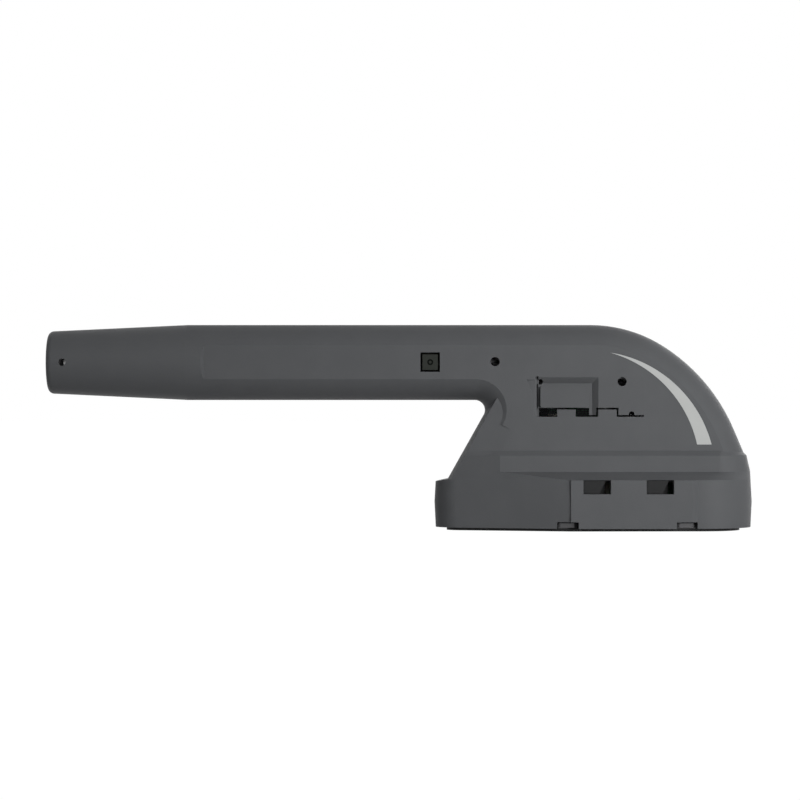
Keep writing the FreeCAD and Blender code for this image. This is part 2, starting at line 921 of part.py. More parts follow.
def ambient_sensor():
    """Square sensor standing in the window, with its breathing port."""
    half = chip_w / 2
    front = -inner_flat - chip_t
    body = block(sense_x - half, sense_x + half, front, -inner_flat, barrel_z - half, barrel_z + half)
    return body.cut(tube(sense_x, front, barrel_z, breather_r, breather_r / 2, ring_depth, Y_AXIS))


def static_manifold():
    """Y fitting from both static ports to one nipple, swept back so that no light passes across."""
    port = V(static_x, -inner_flat, static_z)
    tip = V(static_x + manifold_sweep, 0, static_z)
    run = tip - port
    side = block(static_x - barrel_r, static_x + barrel_r, -inner_flat, 0, barrel_low, barrel_top)
    arm = Part.makeCylinder(hose_r, 2 * run.Length, port - run / 2, run).common(side)
    bore = Part.makeCylinder(static_r, 2 * run.Length, port - run / 2, run).common(side)
    reach = nipple_root + port_l
    nipple = rod(tip.x, 0, static_z, tube_r, reach, X_AXIS)
    passage = rod(tip.x, 0, static_z, tube_bore_r, reach, X_AXIS)
    body = arm.fuse([mirrored(arm), nipple])
    return body.cut(bore).cut(mirrored(bore)).cut(passage)


# ---- base ----

def snap_tongue(x):
    """Springy tongue with a hook that catches in a window of the skirt."""
    arm = tongue_box(x, 0)
    x0 = x - window_w / 2 + snap_gap
    low = plinth_z - window_h + snap_gap
    top = plinth_z - snap_gap
    x1 = x0 + tongue_w
    y1 = stern_half - wall - fit
    outline = [(x0, low), (x1 - tongue_slant, low), (x1, top), (x0, top)]
    catch = side_prism(outline, y1, panel_half - hook_recess)
    return arm.fuse(catch)


def base_plate():
    """Thin floor under the skirt with four snap tongues and the connector bay."""
    i = plate_inset
    floor = Part.Face(plinth_wire(0, i, True)).extrude(Z_AXIS * plate_t)
    floor = floor.cut(block(bay_x0, bay_x1, -bay_half, bay_half, 0, plate_t))
    for x, y in nut_places():
        floor = floor.cut(rod(x, y, 0, screw_hole_r, plate_t, Z_AXIS))
    for x in window_x:
        tongue = snap_tongue(x)
        floor = floor.fuse([tongue, mirrored(tongue)])
    return floor


def mount_nuts():
    """Four thin square nuts."""
    parts = []
    for x, y in nut_places():
        h = nut_w / 2
        nut = block(x - h, x + h, y - h, y + h, plate_t, plate_t + nut_t)
        parts.append(nut.cut(rod(x, y, plate_t, nut_bore_r, nut_t, Z_AXIS)))
    return Part.makeCompound(parts)


def write(name, shape):
    if len(shape.Solids) == 1:
        shape = shape.Solids[0]
    print(name, "valid" if shape.isValid() else "INVALID", len(shape.Solids), round(shape.Volume, 1))
    shape.exportStep("parts/" + name + ".step")


def main():
    os.makedirs("parts", exist_ok=True)
    shell = shell_skin()
    write("left_shell", left_shell(shell))
    write("right_shell", right_shell(shell))
    write("vent_cover", vent_cover())
    write("vent_screen", vent_screen())
    write("pitot_head", pitot_head())
    write("head_seal", head_seal())
    write("ram_tube", ram_tube())
    write("heater_sleeve", heater_sleeve())
    write("thermistor", thermistor())
    write("main_board", main_board())
    write("board_screws", board_screws())
    write("pressure_sensor", pressure_sensor())
    write("board_chips", board_chips())
    left_x, right_x = plug_places()
    write("bus_connector", connector(left_x))
    write("power_connector", connector(right_x))
    write("ambient_board", ambient_board())
    write("ambient_sensor", ambient_sensor())
    write("static_manifold", static_manifold())
    write("heater_socket", lead_socket(heater_socket_z))
    write("ambient_socket", lead_socket(ambient_socket_z))
    write("ram_hose", ram_hose())
    write("static_hose", static_hose())
    write("heater_lead", heater_lead())
    write("thermistor_lead", thermistor_lead())
    write("ambient_lead", ambient_lead())
    write("base_plate", base_plate())
    write("mount_nuts", mount_nuts())


main()
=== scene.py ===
# Looks of a charcoal airspeed probe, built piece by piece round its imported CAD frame. Metres, +Z up.
import json
import math
import bpy
import bmesh
from mathutils import Matrix, Vector


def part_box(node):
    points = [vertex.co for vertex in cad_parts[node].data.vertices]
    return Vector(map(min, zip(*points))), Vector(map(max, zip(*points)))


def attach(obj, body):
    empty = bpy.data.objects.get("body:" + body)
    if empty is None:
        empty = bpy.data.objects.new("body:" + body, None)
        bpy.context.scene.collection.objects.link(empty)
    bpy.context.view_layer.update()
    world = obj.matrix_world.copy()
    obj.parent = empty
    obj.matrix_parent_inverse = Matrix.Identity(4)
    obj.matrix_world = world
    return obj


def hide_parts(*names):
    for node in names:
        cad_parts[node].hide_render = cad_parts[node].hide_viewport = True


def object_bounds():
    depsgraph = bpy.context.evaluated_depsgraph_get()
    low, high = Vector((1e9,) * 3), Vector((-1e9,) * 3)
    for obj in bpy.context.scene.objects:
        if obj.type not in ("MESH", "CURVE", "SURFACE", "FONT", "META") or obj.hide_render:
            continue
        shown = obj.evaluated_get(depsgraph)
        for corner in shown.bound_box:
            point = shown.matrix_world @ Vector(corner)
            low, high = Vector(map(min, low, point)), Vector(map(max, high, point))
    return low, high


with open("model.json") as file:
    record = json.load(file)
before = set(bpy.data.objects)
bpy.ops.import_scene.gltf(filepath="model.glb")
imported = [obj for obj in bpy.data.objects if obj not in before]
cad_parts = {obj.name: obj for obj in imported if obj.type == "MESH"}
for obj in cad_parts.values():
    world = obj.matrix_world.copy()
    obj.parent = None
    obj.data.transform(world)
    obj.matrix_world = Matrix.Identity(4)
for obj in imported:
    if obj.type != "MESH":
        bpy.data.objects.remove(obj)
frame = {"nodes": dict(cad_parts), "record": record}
cad_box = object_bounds()

# ---- camera ----
# Level with the underside of the barrel and square to the probe's left side, from far enough back
# that the barrel, the neck and the plinth keep their true proportions.
CAMERA_DISTANCE = 0.6
LENS_MM = 135
SENSOR_MM = 36


def put_in_scene(name, data):
    """New object on the origin that holds a camera, a lamp or a mesh."""
    thing = bpy.data.objects.new(name, data)
    bpy.context.scene.collection.objects.link(thing)
    return thing


head_low, head_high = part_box("pitot_head")
barrel_r = (head_high.z - head_low.z) / 2
box_low, box_high = cad_box
camera_data = bpy.data.cameras.new("camera")
camera_data.lens = LENS_MM
camera_data.sensor_width = SENSOR_MM
camera_data.clip_start = 0.01
camera_data.clip_end = 20
camera = put_in_scene("camera", camera_data)
camera.location = ((box_low[0] + box_high[0]) / 2, -CAMERA_DISTANCE, box_high[2] - 2 * barrel_r)
camera.rotation_euler = (math.pi / 2, 0, 0)
bpy.context.scene.camera = camera
bpy.context.scene.view_settings.view_transform = "Standard"

# ---- studio ----
# A white sweep without a horizon: camera, mirror and glass rays see white, while the object itself
# is lit by a dim white room and four soft boxes: by the dome, at the side, by the nose and behind.
ROOM_LIGHT = 0.15
PAPER_TONE = (0.3, 0.3, 0.3, 1)
PAPER_SHARE = 0.93
PAPER_GLOW = 1.08
FLOOR_REACH = 3.0
SQUARE_CORNERS = ((-1, -1), (1, -1), (1, 1), (-1, 1))


def seen_rays(tree):
    """One where a camera, mirror or glass ray looks, and zero where light falls."""
    rays = tree.nodes.new("ShaderNodeLightPath")
    seen = rays.outputs["Is Camera Ray"]
    for kind in ("Is Glossy Ray", "Is Transmission Ray"):
        both = tree.nodes.new("ShaderNodeMath")
        both.operation = "MAXIMUM"
        tree.links.new(seen, both.inputs[0])
        tree.links.new(rays.outputs[kind], both.inputs[1])
        seen = both.outputs[0]
    return seen


world = bpy.data.worlds.new("white_room")
bpy.context.scene.world = world
world.use_nodes = True
tree = world.node_tree
tree.nodes.clear()
room = tree.nodes.new("ShaderNodeBackground")
room.inputs["Strength"].default_value = ROOM_LIGHT
white = tree.nodes.new("ShaderNodeBackground")
white.inputs["Strength"].default_value = 1.0
for background in (room, white):
    background.inputs["Color"].default_value = (1, 1, 1, 1)
choose = tree.nodes.new("ShaderNodeMixShader")
surface = tree.nodes.new("ShaderNodeOutputWorld")
tree.links.new(seen_rays(tree), choose.inputs[0])
tree.links.new(room.outputs[0], choose.inputs[1])
tree.links.new(white.outputs[0], choose.inputs[2])
tree.links.new(choose.outputs[0], surface.inputs["Surface"])


def soft_box(name, aim, offset, size, watts, spread_deg):
    """Square area lamp with a grid, set off from a point and turned towards it."""
    data = bpy.data.lights.new(name, "AREA")
    data.size = size
    data.energy = watts
    data.spread = math.radians(spread_deg)
    place = aim + Vector(offset)
    lamp = put_in_scene(name, data)
    lamp.location = place
    lamp.rotation_euler = (aim - place).to_track_quat("-Z", "Y").to_euler()


dome = Vector((0, 0, head_low.z + barrel_r))
nose = Vector((box_low[0], 0, head_low.z + barrel_r))
middle = (dome + nose) / 2
soft_box("dome_box", dome, (0.15, -0.3, -0.01), size=0.1, watts=0.17, spread_deg=90)
soft_box("side_box", middle, (0.3, -0.3, 0.1), size=0.2, watts=0.27, spread_deg=120)
soft_box("nose_box", nose, (-0.02, -0.36, 0.03), size=0.3, watts=0.105, spread_deg=120)
soft_box("back_box", middle, (0.22, 0.4, 0.1), size=0.3, watts=0.35, spread_deg=120)

floor_mesh = bpy.data.meshes.new("floor")
floor_corners = [(sx * FLOOR_REACH, sy * FLOOR_REACH, box_low[2]) for sx, sy in SQUARE_CORNERS]
floor_mesh.from_pydata(floor_corners, [], [(0, 1, 2, 3)])
floor = put_in_scene("floor", floor_mesh)
paper = bpy.data.materials.new("studio_paper")
paper.use_nodes = True
tree = paper.node_tree
tree.nodes.clear()
share = tree.nodes.new("ShaderNodeMath")
share.operation = "MULTIPLY"
share.inputs[1].default_value = PAPER_SHARE
matte = tree.nodes.new("ShaderNodeBsdfDiffuse")
matte.inputs["Color"].default_value = PAPER_TONE
glow = tree.nodes.new("ShaderNodeEmission")
glow.inputs["Strength"].default_value = PAPER_GLOW
blend = tree.nodes.new("ShaderNodeMixShader")
surface = tree.nodes.new("ShaderNodeOutputMaterial")
tree.links.new(seen_rays(tree), share.inputs[0])
tree.links.new(share.outputs[0], blend.inputs[0])
tree.links.new(matte.outputs[0], blend.inputs[1])
tree.links.new(glow.outputs[0], blend.inputs[2])
tree.links.new(blend.outputs[0], surface.inputs["Surface"])
floor_mesh.materials.append(paper)

# ---- housing shells ----
# Two moulded nylon halves glued on the centre plane. The finish is a fine matte charcoal, bead
# blasted and dyed, so it shows faint mottling and a tight grain but no gloss.
CHARCOAL = (0.1, 0.103, 0.108)
SHELL_CREASE = 13
MERGE_REACH = 1e-6
MOTTLE_SCALE = 160
GRAIN_DEPTH = 0.00005
SHEEN_SWING = 0.07
SEAM_HALF = 0.00007
SEAM_SHADE = 0.5


def smooth_skin(node, crease_deg):
    """Copy of a CAD node with its facets merged and shaded smooth between its creases."""
    mesh = frame["nodes"][node].data.copy()
    mesh.name = node + "_skin"
    mesh.materials.clear()
    for layer in ("custom_normal", "sharp_face", "sharp_edge"):
        if layer in mesh.attributes:
            mesh.attributes.remove(mesh.attributes[layer])
    work = bmesh.new()
    work.from_mesh(mesh)
    bmesh.ops.remove_doubles(work, verts=work.verts, dist=MERGE_REACH)
    for facet in work.faces:
        facet.smooth = True
    for edge in work.edges:
        edge.smooth = len(edge.link_faces) == 2 and edge.calc_face_angle() < math.radians(crease_deg)
    work.to_mesh(mesh)
    work.free()
    skin = put_in_scene(node + "_skin", mesh)
    weigh = skin.modifiers.new("even_shading", "WEIGHTED_NORMAL")
    weigh.keep_sharp = True
    weigh.weight = 90
    return skin


def dress(node, finish, crease_deg):
    """Stands a smooth skin with its own finish in the place of a CAD node."""
    skin = smooth_skin(node, crease_deg)
    skin.data.materials.append(finish)
    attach(skin, "root")
    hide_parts(node)


def grained_finish(name, colour, mottle, grain_mm, relief, rough, gloss=0.15, metal=0.0):
    """Moulded, blasted or drawn surface: broad mottling, tight grain and an uneven sheen."""
    finish = bpy.data.materials.new(name)
    finish.use_nodes = True
    nodes = finish.node_tree.nodes
    links = finish.node_tree.links
    shader = nodes["Principled BSDF"]
    shader.inputs["Specular IOR Level"].default_value = gloss
    shader.inputs["Metallic"].default_value = metal
    place = nodes.new("ShaderNodeTexCoord")
    cloud = nodes.new("ShaderNodeTexNoise")
    cloud.inputs["Scale"].default_value = MOTTLE_SCALE
    cloud.inputs["Detail"].default_value = 5
    tone = nodes.new("ShaderNodeValToRGB")
    tone.color_ramp.elements[0].position = 0.3
    tone.color_ramp.elements[1].position = 0.7
    tone.color_ramp.elements[0].color = [c * (1 - mottle) for c in colour] + [1]
    tone.color_ramp.elements[1].color = [c * (1 + mottle) for c in colour] + [1]
    grain = nodes.new("ShaderNodeTexNoise")
    grain.inputs["Scale"].default_value = 1000 / grain_mm
    grain.inputs["Detail"].default_value = 3
    lift = nodes.new("ShaderNodeBump")
    lift.inputs["Strength"].default_value = relief
    lift.inputs["Distance"].default_value = GRAIN_DEPTH
    sheen = nodes.new("ShaderNodeMapRange")
    sheen.inputs["To Min"].default_value = rough - SHEEN_SWING
    sheen.inputs["To Max"].default_value = rough + SHEEN_SWING
    links.new(place.outputs["Object"], cloud.inputs["Vector"])
    links.new(place.outputs["Object"], grain.inputs["Vector"])
    links.new(cloud.outputs["Fac"], tone.inputs["Fac"])
    links.new(tone.outputs["Color"], shader.inputs["Base Color"])
    links.new(grain.outputs["Fac"], lift.inputs["Height"])
    links.new(lift.outputs["Normal"], shader.inputs["Normal"])
    links.new(grain.outputs["Fac"], sheen.inputs["Value"])
    links.new(sheen.outputs["Result"], shader.inputs["Roughness"])
    return finish


def paint_seam_shade(finish):
    """Paints shade into the colour along the hairline where the two halves meet on the centre plane."""
    nodes = finish.node_tree.nodes
    links = finish.node_tree.links
    place = nodes.new("ShaderNodeTexCoord")
    split = nodes.new("ShaderNodeSeparateXYZ")
    away = nodes.new("ShaderNodeMath")
    away.operation = "ABSOLUTE"
    fade = nodes.new("ShaderNodeMapRange")
    fade.inputs["From Min"].default_value = SEAM_HALF / 2
    fade.inputs["From Max"].default_value = SEAM_HALF
    fade.inputs["To Min"].default_value = SEAM_SHADE
    darken = nodes.new("ShaderNodeMix")
    darken.data_type = "RGBA"
    darken.blend_type = "MULTIPLY"
    darken.inputs["Factor"].default_value = 1.0
    shader = nodes["Principled BSDF"]
    tone = shader.inputs["Base Color"].links[0].from_socket
    links.new(place.outputs["Object"], split.inputs[0])
    links.new(split.outputs["Y"], away.inputs[0])
    links.new(away.outputs[0], fade.inputs["Value"])
    links.new(tone, darken.inputs[6])
    links.new(fade.outputs["Result"], darken.inputs[7])
    links.new(darken.outputs[2], shader.inputs["Base Color"])


housing_finish = grained_finish(
    "charcoal_nylon", CHARCOAL, mottle=0.035, grain_mm=0.18, relief=0.35, rough=0.6
)
# Painted shade: the colour is darkened along the seam between the two halves, with no groove in the
# shape.
paint_seam_shade(housing_finish)
for side in ("left", "right"):
    dress(side + "_shell", housing_finish, SHELL_CREASE)

# ---- nose head ----
# Turned aluminium with a hard-anodised charcoal coat that matches the housing. It plugs into the
# barrel with a flatted spigot and a black sealing ring.
HEAD_TONE = [c * 0.99 for c in CHARCOAL]
HEAD_CREASE = 20
ROUND_CREASE = 40
head_finish = grained_finish(
    "anodised_head", HEAD_TONE, mottle=0.02, grain_mm=0.12, relief=0.2, rough=0.52
)
dress("pitot_head", head_finish, HEAD_CREASE)
seal_finish = grained_finish(
    "black_rubber", (0.02, 0.02, 0.021), mottle=0.1, grain_mm=0.1, relief=0.2, rough=0.55
)
dress("head_seal", seal_finish, ROUND_CREASE)

# ---- ram tube, heater and thermistor ----
# Drawn stainless tube through the head's bulkhead, with a fired ceramic ring heater round it and an
# epoxy bead thermistor bonded to the heater's back.
def metal_finish(name, colour, mottle, grain_mm, relief, rough):
    """Drawn, plated or oxidised metal."""
    return grained_finish(name, colour, mottle, grain_mm, relief, rough, gloss=0.5, metal=1.0)


steel_tube = metal_finish(
    "drawn_stainless", (0.56, 0.56, 0.57), mottle=0.04, grain_mm=0.1, relief=0.08, rough=0.3
)
dress("ram_tube", steel_tube, ROUND_CREASE)
heater_finish = grained_finish(
    "fired_ceramic", (0.78, 0.75, 0.68), mottle=0.05, grain_mm=0.15, relief=0.4, rough=0.7
)
dress("heater_sleeve", heater_finish, ROUND_CREASE)
bead_finish = grained_finish(
    "epoxy_bead", (0.03, 0.03, 0.035), mottle=0.1, grain_mm=0.3, relief=0.05, rough=0.2, gloss=0.5
)
dress("thermistor", bead_finish, ROUND_CREASE)

# ---- side cover ----
# Toothed cover with a raised hood, air slots and small holes. It is moulded from the same nylon as
# the housing and pressed into its opening.
COVER_TONE = [c * 0.98 for c in CHARCOAL]
FLAT_CREASE = 24
cover_finish = grained_finish(
    "cover_nylon", COVER_TONE, mottle=0.03, grain_mm=0.18, relief=0.3, rough=0.58
)
dress("vent_cover", cover_finish, FLAT_CREASE)

# ---- woven vent screen ----
# Black polyester mesh behind the cover's slots. Two sets of wires pass over and under each other,
# and the screen's own outline trims them, teeth and all.
WEAVE_PITCH = 0.0004
WIRE_RADIUS = 0.000085
WEAVE_RISE = 0.00006
WIRE_SIDES = 5
RAY_REACH = 1.0


def new_tree(name, sizes):
    """Geometry Nodes tree with one geometry input, one material input and named sizes."""
    tree = bpy.data.node_groups.new(name, "GeometryNodeTree")
    tree.interface.new_socket("Geometry", in_out="INPUT", socket_type="NodeSocketGeometry")
    tree.interface.new_socket("Finish", in_out="INPUT", socket_type="NodeSocketMaterial")
    for label, kind in sizes.items():
        tree.interface.new_socket(label, in_out="INPUT", socket_type=kind)
    tree.interface.new_socket("Geometry", in_out="OUTPUT", socket_type="NodeSocketGeometry")
    return tree, tree.nodes.new("NodeGroupInput"), tree.nodes.new("NodeGroupOutput")


def feed(tree, terms, node):
    """Gives a node's first inputs their terms, each a socket or a plain number."""
    for place, term in enumerate(terms):
        if isinstance(term, (int, float)):
            node.inputs[place].default_value = term
        else:
            tree.links.new(term, node.inputs[place])
    return node.outputs[0]


def math_of(tree, operation, *terms):
    """Result of a math node."""
    node = tree.nodes.new("ShaderNodeMath")
    node.operation = operation
    return feed(tree, terms, node)


def vector_of(tree, x, y, z):
    """Vector put together from three terms."""
    return feed(tree, (x, y, z), tree.nodes.new("ShaderNodeCombineXYZ"))


def lay_copies(tree, unit, points):
    """Node that lays a copy of a unit on each point."""
    lay = tree.nodes.new("GeometryNodeInstanceOnPoints")
    tree.links.new(points, lay.inputs["Points"])
    tree.links.new(unit, lay.inputs["Instance"])
    return lay


def position_of(tree):
    """Node with the X, Y and Z of each point."""
    place = tree.nodes.new("GeometryNodeInputPosition")
    split = tree.nodes.new("ShaderNodeSeparateXYZ")
    tree.links.new(place.outputs[0], split.inputs[0])
    return split


def finish_tree(tree, shape, source, sink):
    """Ends a tree with real geometry that wears the finish."""
    real = tree.nodes.new("GeometryNodeRealizeInstances")
    coat = tree.nodes.new("GeometryNodeSetMaterial")
    tree.links.new(shape, real.inputs["Geometry"])
    tree.links.new(real.outputs["Geometry"], coat.inputs["Geometry"])
    tree.links.new(source.outputs["Finish"], coat.inputs["Material"])
    tree.links.new(coat.outputs["Geometry"], sink.inputs["Geometry"])


def grow(piece_name, tree, mesh, finish, sizes):
    """Runs a tree on a mesh and keeps what it grows as a plain mesh in its own object."""
    seed = put_in_scene(piece_name + "_seed", mesh)
    run = seed.modifiers.new("grow", "NODES")
    run.node_group = tree
    values = dict(sizes, Finish=finish)
    for item in tree.interface.items_tree:
        if item.in_out == "INPUT" and item.name in values:
            run[item.identifier] = values[item.name]
    graph = bpy.context.evaluated_depsgraph_get()
    grown = bpy.data.meshes.new_from_object(seed.evaluated_get(graph))
    seed.modifiers.remove(run)
    bpy.data.objects.remove(seed)
    grown.name = piece_name
    return put_in_scene(piece_name, grown)


def wire_rows(tree, pitch, low, high, along, across):
    """Rows of points over the screen's box: half a pitch between points, a pitch between rows."""
    half = math_of(tree, "DIVIDE", pitch, 2)
    length = math_of(tree, "SUBTRACT", high.outputs[along], low.outputs[along])
    width = math_of(tree, "SUBTRACT", high.outputs[across], low.outputs[across])
    middle = math_of(tree, "DIVIDE", math_of(tree, "ADD", low.outputs["Y"], high.outputs["Y"]), 2)
    step = {"X": 0, "Z": 0, along: half}
    gap = {"X": 0, "Z": 0, across: pitch}
    row = tree.nodes.new("GeometryNodeMeshLine")
    tree.links.new(math_of(tree, "DIVIDE", length, half), row.inputs["Count"])
    tree.links.new(vector_of(tree, step["X"], 0, step["Z"]), row.inputs["Offset"])
    rack = tree.nodes.new("GeometryNodeMeshLine")
    corner = vector_of(tree, low.outputs["X"], middle, low.outputs["Z"])
    tree.links.new(math_of(tree, "DIVIDE", width, pitch), rack.inputs["Count"])
    tree.links.new(corner, rack.inputs["Start Location"])
    tree.links.new(vector_of(tree, gap["X"], 0, gap["Z"]), rack.inputs["Offset"])
    real = tree.nodes.new("GeometryNodeRealizeInstances")
    rows = lay_copies(tree, row.outputs["Mesh"], rack.outputs["Mesh"])
    tree.links.new(rows.outputs["Instances"], real.inputs["Geometry"])
    return real.outputs["Geometry"]


def trimmed(tree, wires, outline):
    """Drops the points that lie outside the screen's own outline."""
    ray = tree.nodes.new("GeometryNodeRaycast")
    ray.inputs["Ray Direction"].default_value = (0, 1, 0)
    ray.inputs["Ray Length"].default_value = RAY_REACH
    outside = tree.nodes.new("FunctionNodeBooleanMath")
    outside.operation = "NOT"
    trim = tree.nodes.new("GeometryNodeDeleteGeometry")
    trim.domain = "POINT"
    tree.links.new(outline, ray.inputs["Target Geometry"])
    tree.links.new(ray.outputs["Is Hit"], outside.inputs[0])
    tree.links.new(wires, trim.inputs["Geometry"])
    tree.links.new(outside.outputs[0], trim.inputs["Selection"])
    return trim.outputs["Geometry"]


def woven(tree, wires, source, low, first_side):
    """Sends the wires over and under by turns, a pitch to each."""
    point = position_of(tree)
    from_left = math_of(tree, "SUBTRACT", point.outputs["X"], low.outputs["X"])
    from_foot = math_of(tree, "SUBTRACT", point.outputs["Z"], low.outputs["Z"])
    from_corner = math_of(tree, "ADD", from_left, from_foot)
    half_turns = math_of(tree, "DIVIDE", from_corner, source.outputs["Pitch"])
    swing = math_of(tree, "COSINE", math_of(tree, "MULTIPLY", half_turns, math.pi))
    rise = math_of(tree, "MULTIPLY", swing, source.outputs["Rise"])
    lift = math_of(tree, "MULTIPLY", rise, first_side)
    wave = tree.nodes.new("GeometryNodeSetPosition")
    tree.links.new(wires, wave.inputs["Geometry"])
    tree.links.new(vector_of(tree, 0, lift, 0), wave.inputs["Offset"])
    return wave.outputs["Geometry"]


def rounded(tree, wires, radius):
    """Gives the wires a round section with closed ends."""
    path = tree.nodes.new("GeometryNodeMeshToCurve")
    ring = tree.nodes.new("GeometryNodeCurvePrimitiveCircle")
    ring.inputs["Resolution"].default_value = WIRE_SIDES
    sweep = tree.nodes.new("GeometryNodeCurveToMesh")
    sweep.inputs["Fill Caps"].default_value = True
    tree.links.new(wires, path.inputs["Mesh"])
    tree.links.new(radius, ring.inputs["Radius"])
    tree.links.new(path.outputs["Curve"], sweep.inputs["Curve"])
    tree.links.new(ring.outputs["Curve"], sweep.inputs["Profile Curve"])
    return sweep.outputs["Mesh"]


def weave_tree():
    """Plain weave over the box of the input mesh, trimmed to its outline."""
    sizes = {"Pitch": "NodeSocketFloat", "Wire radius": "NodeSocketFloat", "Rise": "NodeSocketFloat"}
    tree, source, sink = new_tree("plain_weave", sizes)
    box = tree.nodes.new("GeometryNodeBoundBox")
    tree.links.new(source.outputs["Geometry"], box.inputs["Geometry"])
    low = tree.nodes.new("ShaderNodeSeparateXYZ")
    high = tree.nodes.new("ShaderNodeSeparateXYZ")
    tree.links.new(box.outputs["Min"], low.inputs[0])
    tree.links.new(box.outputs["Max"], high.inputs[0])
    both = tree.nodes.new("GeometryNodeJoinGeometry")
    for along, across, first_side in (("X", "Z", 1), ("Z", "X", -1)):
        wires = wire_rows(tree, source.outputs["Pitch"], low, high, along, across)
        wires = trimmed(tree, wires, source.outputs["Geometry"])
        wires = woven(tree, wires, source, low, first_side)
        tree.links.new(rounded(tree, wires, source.outputs["Wire radius"]), both.inputs["Geometry"])
    finish_tree(tree, both.outputs["Geometry"], source, sink)
    return tree


screen_finish = grained_finish(
    "black_polyester", (0.008, 0.008, 0.009), mottle=0.1, grain_mm=0.05, relief=0.1,
    rough=0.6, gloss=0.05,
)
weave_sizes = {"Pitch": WEAVE_PITCH, "Wire radius": WIRE_RADIUS, "Rise": WEAVE_RISE}
screen_mesh = frame["nodes"]["vent_screen"].data.copy()
screen = grow("woven_screen", weave_tree(), screen_mesh, screen_finish, weave_sizes)
screen.data.shade_smooth()
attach(screen, "root")
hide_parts("vent_screen")

# ---- base plate ----
# Thin moulded plate of black nylon under the skirt. Its four tongues snap into the windows of the
# side panels.
base_finish = grained_finish(
    "black_nylon", (0.014, 0.0145, 0.015), mottle=0.05, grain_mm=0.2, relief=0.3, rough=0.55
)
dress("base_plate", base_finish, FLAT_CREASE)

# ---- square nuts ----
# Four thin M2 square nuts of grey zinc-plated steel in the skirt's slots, one under each corner of
# the side panels, with chamfered corners, countersunk mouths and a cut thread.
M2_RADIUS = 0.001
THREAD_PITCH = 0.0004
THREAD_DEPTH = 0.0002
NUT_CHAMFER = 0.00015
NUT_THREAD_RINGS = 9
TURN_STEPS = 32
QUARTER_TURN = math.pi / 2


def mesh_of(name, work):
    """Mesh with its doubles merged and its faces turned outwards."""
    bmesh.ops.remove_doubles(work, verts=work.verts, dist=MERGE_REACH)
    bmesh.ops.recalc_face_normals(work, faces=work.faces)
    mesh = bpy.data.meshes.new(name)
    work.to_mesh(mesh)
    work.free()
    return mesh


def turned_mesh(name, stations, count, closed):
    """Mesh turned about Z: each station gives (radius, height) at an angle."""
    work = bmesh.new()
    rings = []
    for station in stations:
        ring = []
        for i in range(count):
            angle = 2 * math.pi * i / count
            radius, height = station(angle)
            ring.append(work.verts.new((radius * math.cos(angle), radius * math.sin(angle), height)))
        rings.append(ring)
    pairs = list(zip(rings, rings[1:]))
    if closed:
        pairs.append((rings[-1], rings[0]))
    for low, high in pairs:
        for i in range(count):
            j = (i + 1) % count
            work.faces.new((low[i], low[j], high[j], high[i]))
    return mesh_of(name, work)


def thread_station(root, height):
    """Ring of a helical thread whose crest stands a thread's depth over its root."""
    def at(angle):
        turns = height / THREAD_PITCH - angle / (2 * math.pi)
        return root + THREAD_DEPTH * (1 + math.cos(2 * math.pi * turns)) / 2, height
    return at


def square_station(half, height):
    """Ring of a square with small chamfers on its corners."""
    def at(angle):
        side = half / max(abs(math.cos(angle)), abs(math.sin(angle)))
        diagonal = QUARTER_TURN * (math.floor(angle / QUARTER_TURN) + 0.5)
        corner = (half * math.sqrt(2) - NUT_CHAMFER) / math.cos(angle - diagonal)
        return min(side, corner), height
    return at


def round_station(radius, height):
    """Ring of a plain cylinder or cone."""
    return lambda angle: (radius, height)


def solids_of(node):
    """Centre and size of each separate solid in a CAD node."""
    work = bmesh.new()
    work.from_mesh(frame["nodes"][node].data)
    bmesh.ops.remove_doubles(work, verts=work.verts, dist=MERGE_REACH)
    found = []
    waiting = set(work.verts)
    while waiting:
        group = []
        reach = [waiting.pop()]
        while reach:
            point = reach.pop()
            group.append(point.co.copy())
            near = [edge.other_vert(point) for edge in point.link_edges]
            fresh = [other for other in near if other in waiting]
            waiting.difference_update(fresh)
            reach.extend(fresh)
        low = Vector([min(c[i] for c in group) for i in range(3)])
        high = Vector([max(c[i] for c in group) for i in range(3)])
        found.append(((low + high) / 2, high - low))
    work.free()
    return sorted(found, key=lambda solid: tuple(round(c, 6) for c in solid[0]))


def nut_mesh(width, thickness):
    """Square nut on the origin, its lower face at zero height."""
    half = width / 2
    root = M2_RADIUS - THREAD_DEPTH
    mouth = M2_RADIUS + NUT_CHAMFER / 2
    ring_step = (thickness - 2 * NUT_CHAMFER) / (NUT_THREAD_RINGS - 1)
    stations = [thread_station(root, NUT_CHAMFER + ring_step * k) for k in range(NUT_THREAD_RINGS)]
    stations += [
        round_station(mouth, thickness),
        square_station(half - NUT_CHAMFER, thickness),
        square_station(half, thickness - NUT_CHAMFER),
        square_station(half, NUT_CHAMFER),
        square_station(half - NUT_CHAMFER, 0),
        round_station(mouth, 0),
    ]
    return turned_mesh("nut_unit", stations, TURN_STEPS, True)


def corner_copies_tree():
    """Copies the input mesh to the four corners of a rectangle."""
    sizes = {"Spacing X": "NodeSocketFloat", "Spacing Y": "NodeSocketFloat", "Level": "NodeSocketFloat"}
    tree, source, sink = new_tree("corner_copies", sizes)
    grid = tree.nodes.new("GeometryNodeMeshGrid")
    grid.inputs["Vertices X"].default_value = 2
    grid.inputs["Vertices Y"].default_value = 2
    lift = tree.nodes.new("GeometryNodeSetPosition")
    tree.links.new(source.outputs["Spacing X"], grid.inputs["Size X"])
    tree.links.new(source.outputs["Spacing Y"], grid.inputs["Size Y"])
    tree.links.new(grid.outputs["Mesh"], lift.inputs["Geometry"])
    tree.links.new(vector_of(tree, 0, 0, source.outputs["Level"]), lift.inputs["Offset"])
    copies = lay_copies(tree, source.outputs["Geometry"], lift.outputs["Geometry"])
    finish_tree(tree, copies.outputs["Instances"], source, sink)
    return tree


